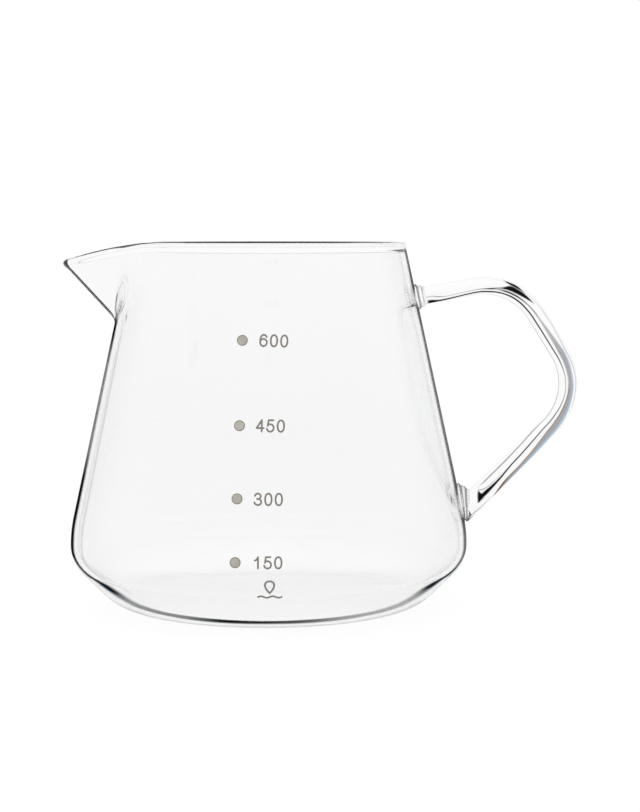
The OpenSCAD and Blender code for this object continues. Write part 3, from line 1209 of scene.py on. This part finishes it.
@dataclass
class RodHandle:
    """Solid rod, bent at two corners and thicker towards its lower end, between two gathers."""

    shape: WallShape
    finish: bpy.types.Material
    upper_drop: float = 15.7
    lower_z: float = 29.7
    top_corner: Pair = (28.0, 5.3)
    grip_corner: Pair = (48.5, -27.6)
    knee_corner: Pair = (3.5, -0.1)
    bend_radii: Pair = (18.0, 17.8)
    bend_steps: int = 48
    upper_d: float = 5.0
    grip_d: float = 5.4
    lower_d: float = 6.5
    upper_weld_l: float = 2.7
    upper_weld_r: float = 3.55
    lower_weld_l: float = 2.35
    lower_weld_r: float = 4.95
    overlap: float = 0.04
    past: float = 4.0
    trim_reach: float = 12.0
    sides: int = 256
    spacing: float = 0.36
    ridge: Pair = (0.08, 0.3)
    hand_wave: float = 0.05
    wave_size: float = 85.0
    seed: int = 4
    sharp_angle: float = 50.0

    def __post_init__(self) -> None:
        """Place the two joints on the wall and the corners of the rod's middle line."""
        upper = self.shape.handle_side(self.shape.body_h - self.upper_drop)
        lower = self.shape.handle_side(self.lower_z)
        self.corners = [upper + self.top_corner, upper + self.grip_corner]
        knee = lower + self.knee_corner
        run, rise = heading(self.corners[0] - upper), heading(self.corners[1] - knee)
        self.upper = Joint(upper, run, self.upper_weld_l, upper, run, self.upper_d / 2)
        run = heading(knee - lower)
        self.lower = Joint(lower, run, self.lower_weld_l, knee, rise, self.lower_d / 2)

    def middle_line(self) -> tuple[Array, Array]:
        """Draw the rod's middle line, past both gathers.

        Returns:
            Points in the plane of symmetry, and the rod's radius at each.
        """
        start, end = (end.face - end.rod_run * self.past for end in (self.upper, self.lower))
        stops = [start, *self.corners, end]
        bends = []
        for before, corner, after, radius in zip(stops, stops[1:], stops[2:], self.bend_radii):
            run_in, run_out = heading(corner - before), heading(after - corner)
            angle = math.atan2(run_in[1], run_in[0])
            turn = angle - math.atan2(run_out[1], run_out[0])
            square = np.array([run_in[1], -run_in[0]])
            centre = corner - radius * math.tan(turn / 2) * run_in + radius * square
            first = angle + QUARTER
            bends.append(arc(centre, radius, first, first - turn, self.bend_steps))
        rough = np.vstack([start, *bends, end])
        length = run_length(rough)
        fine = np.linspace(0.0, length[-1], int(length[-1] / self.spacing))
        line = np.column_stack([np.interp(fine, length, rough[:, axis]) for axis in (0, 1)])
        top_in, top_out, grip_out = length[[1, 1 + self.bend_steps, 2 + 2 * self.bend_steps]]
        swell = np.clip((fine - grip_out) / (length[-1] - self.past - grip_out), 0.0, 1.0)
        width = toward(self.upper_d, self.grip_d, soft_step(fine, top_in, top_out))
        return line, (width + (self.lower_d - self.grip_d) * swell) / 2

    def tree(self) -> GeometryTree:
        """Sweep a round section and let it wander as drawn glass does.

        Returns:
            The tree, for a line of edges that holds "rod_radius".
        """
        inputs = {
            "Sides": self.sides,
            "Hand Wave": self.hand_wave * MM,
            "Wave Size": self.wave_size,
            "Seed": self.seed,
            "Finish": self.finish,
        }
        tree = GeometryTree("rod_sweep", inputs)
        given = tree.given
        path = tree.node("GeometryNodeMeshToCurve", None, {"Mesh": given["Geometry"]})
        circle = {"Resolution": given["Sides"], "Radius": 1.0}
        section = tree.node("GeometryNodeCurvePrimitiveCircle", {"mode": "RADIUS"}, circle)
        radius = tree.node(
            "GeometryNodeInputNamedAttribute", {"data_type": "FLOAT"}, {"Name": "rod_radius"}
        )
        sweep = {
            "Curve": path.outputs[0],
            "Profile Curve": section.outputs[0],
            "Scale": radius.outputs[0],
        }
        rod = tree.node("GeometryNodeCurveToMesh", None, sweep)
        waves = {"W": given["Seed"], "Scale": given["Wave Size"], "Detail": 1.0}
        wander = tree.value("ShaderNodeTexNoise", "Fac", {"noise_dimensions": "4D"}, waves)
        normal = tree.node("GeometryNodeInputNormal").outputs[0]
        size = (wander - 0.5) * Value(tree, given["Hand Wave"])
        shift = tree.node(
            "ShaderNodeVectorMath", {"operation": "SCALE"}, {0: normal, "Scale": size}
        )
        sockets = {"Geometry": rod.outputs[0], "Offset": shift.outputs[0]}
        tree.close(tree.node("GeometryNodeSetPosition", None, sockets).outputs[0])
        return tree

    def trim(self, piece: bpy.types.Object, joint: Joint) -> None:
        """Cut the rod off flat at a gather's outer face and close the end.

        Args:
            piece: The rod.
            joint: The end to cut.
        """
        work = bmesh.new()
        work.from_mesh(piece.data)
        middle = Vector(in_plane(joint.face - joint.run * self.overlap) * MM)
        reach = self.trim_reach * MM
        near = [f for f in work.faces if (f.calc_center_median() - middle).length < reach]
        cut = bmesh.ops.bisect_plane(
            work,
            geom=list({part for f in near for part in (f, *f.edges, *f.verts)}),
            plane_co=middle,
            plane_no=in_plane(-joint.run),
            clear_outer=True,
        )
        rim = [e for e in cut["geom_cut"] if isinstance(e, bmesh.types.BMEdge)]
        for end in bmesh.ops.edgeloop_fill(work, edges=rim)["faces"]:
            end.smooth = False
        bmesh.ops.recalc_face_normals(work, faces=work.faces[:])
        work.to_mesh(piece.data)
        work.free()

    def bands(self, mesh: bpy.types.Mesh, line: Array, radii: Array) -> Array:
        """Lay the painted dark bands over the rod.

        Args:
            mesh: The rod's mesh.
            line: Points of its middle line.
            radii: Its radius at each.

        Returns:
            Colour and amount, one row for each vertex.
        """
        places = np.array([v.co for v in mesh.vertices]) / MM
        flat = places[:, [0, 2]]
        nearest = np.linalg.norm(flat[:, None, :] - line[None], axis=2).argmin(axis=1)
        along = np.gradient(line, axis=0)
        along /= np.linalg.norm(along, axis=1, keepdims=True)
        outward = np.column_stack([-along[:, 1], along[:, 0]])
        across = ((flat - line[nearest]) * outward[nearest]).sum(axis=1) / radii[nearest]
        length = run_length(line)
        share = (length[nearest] - self.past) / (length[-1] - 2 * self.past)
        colour, clear = np.zeros((len(places), 3)), np.ones(len(places))
        for streak in ROD_SHADE_STREAKS:
            amount = streak.amount(share, across)
            colour += (amount * clear)[:, None] * streak.colour
            clear *= 1 - amount
        whole = 1 - clear
        colour /= np.maximum(whole, TINY)[:, None]
        side = soft_step(np.abs(places[:, 1]) / radii[nearest], *self.ridge)
        return np.column_stack([colour, whole * side])

    def build(self) -> bpy.types.Object:
        """Sweep the rod.

        Returns:
            The piece that stands for the CAD handle.
        """
        line, radii = self.middle_line()
        points = np.column_stack([line[:, 0], np.zeros(len(line)), line[:, 1]]) * MM
        mesh = bpy.data.meshes.new("handle_rod")
        mesh.from_pydata(points.tolist(), [(i, i + 1) for i in range(len(line) - 1)], [])
        store(mesh, "rod_radius", Kind.NUMBER, radii * MM)
        piece = stand("handle_rod", mesh)
        self.tree().apply(piece)
        for joint in (self.upper, self.lower):
            self.trim(piece, joint)
        sharpen(piece, self.sharp_angle)
        # Painted dark bands along the rod, and no painted outline.
        give_lines(piece, 0.0, streak=self.bands(piece.data, line, radii))
        seat(piece, "handle")
        return piece


@dataclass
class Gather:
    """Glass gathered round one joint of the handle: a rippled collar that swells to the wall."""

    name: str
    node: str
    shape: WallShape
    finish: bpy.types.Material
    joint: Joint
    base_r: float
    ripple: float = 0.28
    ripples: int = 2
    ripple_start: float = 0.15
    swell_power: float = 0.8
    sides: int = 72
    rows: int = 30
    end_rings: Pair = (0.3, 0.65)
    sink: float = 0.04
    search: float = 8.0
    # How dark the collar's painted shade line is.
    line: float = 0.85
    sharp_angle: float = 50.0

    def to_wall(self, offsets: Array) -> Array:
        """Seat points of the gather's base in the wall.

        Args:
            offsets: Offsets from the gather's line.

        Returns:
            How far along the line each meets the wall, less the sink.
        """
        start, run = in_plane(self.joint.wall_point), in_plane(self.joint.run)

        def outside(middle: Array) -> Array:
            """Whether places at these distances lie outside the body."""
            place = start + offsets + middle[:, None] * run
            return np.hypot(place[:, 0], place[:, 1]) > self.shape.outer_radius(place[:, 2])

        span = np.full(len(offsets), self.search)
        return surface_between(-span, span, outside) - self.sink

    def rings(self) -> list[Array]:
        """Shape the collar as rings round its line.

        Returns:
            Points of each ring, from inside the base to inside the outer face.
        """
        joint = self.joint
        turn = np.arange(self.sides) * FULL_TURN / self.sides
        across, up = np.array([0.0, 1.0, 0.0]), in_plane([-joint.run[1], joint.run[0]])
        run, start = in_plane(joint.run), in_plane(joint.wall_point)
        drift = (in_plane(joint.face) - start - joint.length * run) @ up

        def ring(radius: float, t: float) -> Array:
            """Offsets from the gather's line, stretched and shifted towards the rod's section."""
            tall = np.sin(turn) * radius * toward(1, joint.stretch, t) + drift * t
            return np.cos(turn)[:, None] * across * radius + tall[:, None] * up

        made = []
        for fraction in self.end_rings:
            offset = ring(self.base_r * fraction, 0.0)
            made.append(start + offset + self.to_wall(offset)[:, None] * run)
        base = self.to_wall(ring(self.base_r, 0.0))
        for t in np.linspace(0.0, 1.0, self.rows + 1):
            fall = 1 - float(soft_step(t, 0.0, 1.0))
            swell = (self.base_r - joint.rod_r) * fall**self.swell_power
            wave = self.ripple * math.sin(self.ripples * FULL_TURN * t) * (1 - t)
            wave *= float(soft_step(t, 0.0, self.ripple_start))
            along = toward(base, joint.length, t)
            made.append(start + ring(joint.rod_r + swell + wave, t) + along[:, None] * run)
        for fraction in reversed(self.end_rings):
            made.append(start + ring(joint.rod_r * fraction, 1.0) + joint.length * run)
        return made

    def build(self) -> bpy.types.Object:
        """Loft the collar between wall and rod, closed at both ends.

        Returns:
            The piece that stands for the CAD weld.
        """
        made = self.rings()
        points = np.vstack([*made, made[0].mean(axis=0), made[-1].mean(axis=0)])
        ids = np.arange(len(made) * self.sides).reshape(len(made), self.sides)
        after = np.roll(ids, -1, axis=1)
        quads = np.stack([ids[:-1], after[:-1], after[1:], ids[1:]], axis=2).reshape(-1, 4)
        base = np.column_stack([np.full(self.sides, ids.size), after[0], ids[0]])
        cap = np.column_stack([np.full(self.sides, ids.size + 1), ids[-1], after[-1]])
        faces = quads.tolist() + base.tolist() + cap.tolist()
        piece = add_piece(self.name, points, faces, self.finish)
        sharpen(piece, self.sharp_angle)
        # Painted shade line on the collar, none where it meets the wall.
        lined = np.full(len(points), self.line)
        lined[: (len(self.end_rings) + 1) * self.sides] = lined[-2] = 0.0
        give_lines(piece, lined)
        seat(piece, self.node)
        return piece


# ------------------------------------------------------------------------------
# Fill scale


def oval(middle: Pair, half: Pair, start: float, end: float, steps: int = 40) -> Array:
    """Points along part of an oval, angles in degrees."""
    turn = np.radians(np.linspace(start, end, steps + 1))
    return np.column_stack([middle[0] + half[0] * np.cos(turn), middle[1] + half[1] * np.sin(turn)])


def digit_strokes() -> dict[str, list[Array]]:
    """Draw the middle lines of the digits' strokes.

    Returns:
        Strokes of each digit, in a box one unit wide and one high.
    """
    ring = oval((0.0, 0.5), (1.0, 0.5), 0, 360, 72)
    ring[:, 0] = 0.5 + 0.47 * np.sign(ring[:, 0]) * np.abs(ring[:, 0]) ** 0.85
    top, bowl = ((0.49, 0.765), (0.42, 0.235)), ((0.49, 0.265), (0.49, 0.265))
    flag, hook = [[0.9, 1.0], [0.22, 1.0], [0.1, 0.5]], ((0.47, 0.325), (0.5, 0.325))
    return {
        "0": [ring],
        "1": [np.array([[0.6, 0.0], [0.6, 1.0], [0.5, 0.86], [0.34, 0.76], [0.14, 0.69]])],
        "3": [
            np.vstack([oval(*top, 172, -90), oval(*bowl, 90, -172)]),
            np.array([[0.36, 0.53], [0.49, 0.53]]),
        ],
        "4": [np.array([[0.74, 0.0], [0.74, 1.0], [0.0, 0.29], [1.02, 0.29]])],
        "5": [np.vstack([flag, oval(*hook, 138, -168)])],
        "6": [
            oval((0.52, 0.5), (0.52, 0.5), 38, 180),
            np.array([[0.0, 0.5], [0.0, 0.315]]),
            oval((0.49, 0.315), (0.49, 0.315), 0, 360),
        ],
    }


@dataclass
class FillMark:
    """A level: its amount, its dot's height, and its number's height, middle and tilt."""

    amount: int
    dot_z: float
    number_z: float
    number_middle: float
    tilt: float


@dataclass
class FillScale:
    """Fired-on marks on the front: a dot and number for each level, a drop over a wavy line."""

    shape: WallShape
    finish: bpy.types.Material
    marks: list[FillMark] = field(
        default_factory=lambda: [
            FillMark(600, 78.8, 78.7, 2.52, -2.0),
            FillMark(450, 56.4, 56.38, 1.66, -1.2),
            FillMark(300, 37.4, 37.31, 1.16, -0.6),
            FillMark(150, 20.9, 20.93, 1.05, 0.0),
        ]
    )
    dot_d: float = 2.9
    dot_angle: float = math.radians(7.6)
    dot_sides: int = 72
    dot_rings: int = 10
    lift: float = 0.06
    edge_rise: Pair = (-0.05, 0.12)
    sink: float = 0.05
    cell: float = 0.09
    stroke: float = 0.46
    digit_size: Pair = (1.83, 2.97)
    advance: float = 2.76
    sign_middle: float = 1.5
    sign_stroke: float = 0.5
    sign_points: tuple[int, int] = (65, 49)
    drop_z: float = 12.6
    drop_h: float = 3.4
    drop_r: float = 1.625
    drop_taper: float = 1.1
    wave_z: float = 11.45
    wave_w: float = 6.2
    wave_h: float = 0.24
    sharp_angle: float = 40.0

    def ink_depth(self, spots: Array, strokes: Sequence[Array], width: float) -> Array:
        """Measure how deep in the ink each spot lies.

        Args:
            spots: Places on the unrolled wall.
            strokes: Middle lines.
            width: Width of the brush.

        Returns:
            Distance inside the nearest stroke, below 0 outside.
        """
        depth = np.full(spots.shape[:2], -FAR_AWAY)
        for line in strokes:
            for start, end in zip(line, line[1:]):
                step = end - start
                share = np.clip(((spots - start) @ step) / max(float(step @ step), TINY), 0.0, 1.0)
                away = np.linalg.norm(spots - start - share[..., None] * step, axis=-1)
                depth = np.maximum(depth, width / 2 - away)
        return depth

    def paint(self, name: str, strokes: Sequence[Array], width: float) -> None:
        """Paint round-ended strokes as one sheet of ink on the wall.

        Args:
            name: The piece's name.
            strokes: Middle lines, as length of arc along the wall and height.
            width: Width of the brush.
        """
        ends = np.vstack(strokes)
        low, high = ends.min(axis=0) - width, ends.max(axis=0) + width
        sides = (np.arange(low[i], high[i], self.cell) for i in (0, 1))
        spots = np.stack(np.meshgrid(*sides, indexing="ij"), axis=-1)
        depth = self.ink_depth(spots, strokes, width)
        inked = depth > 0
        touched = inked[:-1, :-1] | inked[1:, :-1] | inked[:-1, 1:] | inked[1:, 1:]
        places: dict[tuple, int] = {}
        flat: list[Array] = []
        edge: list[float] = []
        faces: list[tuple[int, ...]] = []

        def place(key: tuple, where: Array, deep: float) -> int:
            """Find a vertex's number, and make the vertex on first use.

            Args:
                key: The corner or the pair of corners that it stands for.
                where: Its place on the unrolled wall.
                deep: Its distance from the edge of the ink.

            Returns:
                Its number.
            """
            if key not in places:
                places[key] = len(flat)
                flat.append(where)
                edge.append(deep)
            return places[key]

        for i, j in zip(*np.nonzero(touched)):
            corners = [(i, j), (i + 1, j), (i + 1, j + 1), (i, j + 1)]
            face = []
            for a, b in zip(corners, corners[1:] + corners[:1]):
                if inked[a]:
                    face.append(place(a, spots[a], depth[a]))
                if inked[a] != inked[b]:
                    share = depth[a] / (depth[a] - depth[b])
                    crossing = spots[a] + share * (spots[b] - spots[a])
                    face.append(place((min(a, b), max(a, b)), crossing, 0.0))
            if len(face) > 2:
                faces.append(tuple(face))
        self.fire(name, np.array(flat), np.array(edge), faces)

    def fire(self, name: str, flat: Array, edge: Array, faces: list[tuple[int, ...]]) -> None:
        """Wrap a flat sheet of ink onto the wall and give it its thickness.

        Args:
            name: The piece's name.
            flat: Length of arc along the wall and height of each vertex.
            edge: Each vertex's distance from the sheet's edge.
            faces: Vertex numbers of each face.
        """
        count = len(flat)
        along, z = flat.T
        front = self.shape.on_wall(along, z, self.lift * soft_step(edge, *self.edge_rise))
        back = self.shape.on_wall(along, z, -self.sink)
        edges = {(f[i], f[(i + 1) % len(f)]) for f in faces for i in range(len(f))}
        rim = sorted((a, b) for a, b in edges if (b, a) not in edges)
        solid = faces + [tuple(i + count for i in reversed(f)) for f in faces]
        solid += [(b, a, a + count, b + count) for a, b in rim]
        piece = add_piece(name, np.vstack([front, back]), solid, self.finish)
        sharpen(piece, self.sharp_angle)
        store(piece.data, "ink_edge", Kind.NUMBER, np.tile(edge * MM, 2))
        seat(piece)

    def number(self, mark: FillMark) -> None:
        """Paint one number, its digits side by side.

        Args:
            mark: The level that it names.
        """
        glyphs = digit_strokes()
        text = str(mark.amount)
        tilt = math.radians(mark.tilt)
        turned = np.array([[math.cos(tilt), math.sin(tilt)], [-math.sin(tilt), math.cos(tilt)]])
        strokes = []
        for k, digit in enumerate(text):
            shift = np.array([(k - (len(text) - 1) / 2) * self.advance, 0.0])
            for line in glyphs[digit]:
                local = (line - 0.5) * self.digit_size + shift
                strokes.append(local @ turned + [mark.number_middle, mark.number_z])
        self.paint(f"number_{mark.amount}", strokes, self.stroke)

    def dot_tree(self) -> GeometryTree:
        """Set a disc of ink on each point, square to the wall.

        Returns:
            The tree, for points that hold "facing".
        """
        inputs = {
            "Dot Radius": self.dot_d / 2 * MM,
            "Ink Depth": 2 * self.lift * MM,
            "Segments": self.dot_sides,
            "Rings": self.dot_rings,
            "Finish": self.finish,
        }
        tree = GeometryTree("dot_row", inputs)
        given = tree.given
        sizes = {
            "Vertices": given["Segments"],
            "Fill Segments": given["Rings"],
            "Radius": given["Dot Radius"],
            "Depth": given["Ink Depth"],
        }
        disc = tree.node("GeometryNodeMeshCylinder", {"fill_type": "TRIANGLE_FAN"}, sizes)
        spot = tree.node("GeometryNodeInputPosition").outputs[0]
        away = tree.value("ShaderNodeVectorMath", "Value", {"operation": "LENGTH"}, {0: spot})
        marked = tree.node(
            "GeometryNodeStoreNamedAttribute",
            {"data_type": "FLOAT", "domain": "POINT"},
            {
                "Geometry": disc.outputs[0],
                "Name": "ink_edge",
                "Value": Value(tree, given["Dot Radius"]) - away,
            },
        )
        facing = tree.node(
            "GeometryNodeInputNamedAttribute", {"data_type": "FLOAT_VECTOR"}, {"Name": "facing"}
        )
        turned = tree.node(
            "FunctionNodeAlignRotationToVector", {"axis": "Z"}, {"Vector": facing.outputs[0]}
        )
        sockets = {
            "Points": given["Geometry"],
            "Instance": marked.outputs[0],
            "Rotation": turned.outputs[0],
        }
        tree.close(tree.node("GeometryNodeInstanceOnPoints", None, sockets).outputs[0])
        return tree

    def dots(self) -> None:
        """Repeat one disc of ink at the levels."""
        heights = np.array([mark.dot_z for mark in self.marks])
        along = -self.dot_angle * self.shape.outer_radius(heights)
        points = self.shape.on_wall(along, heights, 0.0)
        mesh = bpy.data.meshes.new("scale_dots_fired")
        mesh.from_pydata((points * MM).tolist(), [], [])
        outward = self.shape.on_wall(along, heights, 1.0) - points
        store(mesh, "facing", Kind.VECTOR, outward)
        piece = stand("scale_dots_fired", mesh)
        self.dot_tree().apply(piece)
        sharpen(piece, self.sharp_angle)
        seat(piece, "scale_dots")

    def sign(self) -> None:
        """Paint a drop over a wavy line, below the lowest number."""
        around, run = (np.linspace(-0.5, 0.5, count) for count in self.sign_points)
        turn = around * FULL_TURN
        side = self.drop_r * np.sin(turn) * np.cos(turn / 2) ** self.drop_taper
        fall = self.drop_h * (1 - np.cos(turn)) / 2
        drop = np.column_stack([self.sign_middle + side, self.drop_z + self.drop_h - fall])
        swing = self.wave_z + self.wave_h * np.sin(2 * FULL_TURN * run)
        wave = np.column_stack([self.sign_middle + self.wave_w * run, swing])
        self.paint("drop_sign", [drop, wave], self.sign_stroke)

    def build(self) -> None:
        """Make the dots, the numbers and the sign."""
        self.dots()
        for mark in self.marks:
            self.number(mark)
        self.sign()


# ------------------------------------------------------------------------------
# Studio


@dataclass
class Studio:
    """White table and surround, lit softly, with the camera of the photograph."""

    white: tuple[float, ...] = (1.0, 1.0, 1.0, 1.0)
    camera_place: Triple = (0.01478, -0.590, 0.10826)
    camera_pitch: float = math.radians(85.073)
    camera_range: Pair = (0.01, 50.0)
    lens: float = 90.82
    film_height: float = 36.0
    table_size: float = 80.0
    table_gap: float = 0.0001
    table_colour: tuple[float, ...] = (0.98, 0.98, 0.98, 1.0)
    table_roughness: float = 0.7
    table_glow: Pair = (0.92, 1.0)
    glow_reach: Pair = (0.15, 0.6)
    lamp_place: Triple = (-0.5, -0.3, 1.1)
    lamp_aim: Triple = (0.0, 0.0, 0.05)
    lamp_size: float = 0.7
    lamp_watts: float = 6.0

    def world(self) -> None:
        """A white surround."""
        world = bpy.data.worlds.new("studio")
        bpy.context.scene.world = world
        world.use_nodes = True
        graph = Graph(world.node_tree)
        glow = graph.node("ShaderNodeBackground", None, {"Color": self.white, "Strength": 1.0})
        graph.node("ShaderNodeOutputWorld", None, {"Surface": glow.outputs[0]})

    def table(self) -> None:
        """A white table that keeps a trace of the server's shadow."""
        half = self.table_size / 2
        corners = [(x * half, y * half) for x, y in ((-1, -1), (1, -1), (1, 1), (-1, 1))]
        mesh = bpy.data.meshes.new("table")
        mesh.from_pydata([(x, y, -self.table_gap) for x, y in corners], [], [(0, 1, 2, 3)])
        top = stand("table", mesh)
        material, graph = new_material("white_table")
        place = graph.node("ShaderNodeTexCoord").outputs["Object"]
        away = graph.value("ShaderNodeVectorMath", "Value", {"operation": "LENGTH"}, {0: place})
        path = graph.node("ShaderNodeLightPath").outputs
        rays = ("Is Camera Ray", "Is Glossy Ray", "Is Transmission Ray")
        camera, glossy, bent = (Value(graph, path[ray]) for ray in rays)
        paint = graph.surface({"Base Color": self.table_colour, "Roughness": self.table_roughness})
        glow = graph.node("ShaderNodeEmission", None, {"Color": self.white, "Strength": 1.0})
        near, far = self.table_glow
        amount = camera.larger(glossy.larger(bent)) * (
            away.step(*self.glow_reach) * (far - near) + near
        )
        mixed = graph.blend(amount, paint, glow.outputs[0])
        graph.node("ShaderNodeOutputMaterial", None, {"Surface": mixed})
        mesh.materials.append(material)

    def lamp(self) -> None:
        """A square soft lamp over the table."""
        light = bpy.data.lights.new("soft_top", "AREA")
        light.shape = "SQUARE"
        light.size = self.lamp_size
        light.energy = self.lamp_watts
        made = stand("soft_top", light)
        made.location = self.lamp_place
        toward_x, toward_y, toward_z = np.array(self.lamp_aim) - self.lamp_place
        tilt = math.atan2(math.hypot(toward_x, toward_y), -toward_z)
        made.rotation_euler = (tilt, 0.0, math.atan2(toward_y, toward_x) - QUARTER)
        made.visible_glossy = False
        made.visible_transmission = False

    def camera(self) -> None:
        """The camera at the photograph's place and angle."""
        data = bpy.data.cameras.new("camera")
        data.sensor_fit = "VERTICAL"
        data.sensor_height = self.film_height
        data.lens = self.lens
        data.clip_start, data.clip_end = self.camera_range
        made = stand("camera", data)
        made.location = self.camera_place
        made.rotation_euler = (self.camera_pitch, 0.0, 0.0)
        bpy.context.scene.camera = made

    def build(self) -> None:
        """Set up the surround, table, lamp, camera and view transform."""
        bpy.context.scene.view_settings.view_transform = "Standard"
        self.world()
        self.table()
        self.lamp()
        self.camera()


def main() -> None:
    """Build the studio and the server, piece by piece."""
    logging.basicConfig(level=logging.INFO, format="%(name)s: %(message)s")
    glass = ClearGlass().build()
    enamel = GreyEnamel().build()
    shape = WallShape()
    Studio().build()
    GlassBody(shape, glass).build()
    rod = RodHandle(shape, glass)
    rod.build()
    for end, joint, radius in (
        ("upper", rod.upper, rod.upper_weld_r),
        ("lower", rod.lower, rod.lower_weld_r),
    ):
        Gather(f"{end}_gather", f"{end}_handle_weld", shape, glass, joint, radius).build()
    FillScale(shape, enamel).build()


if __name__ == "__main__":
    main()
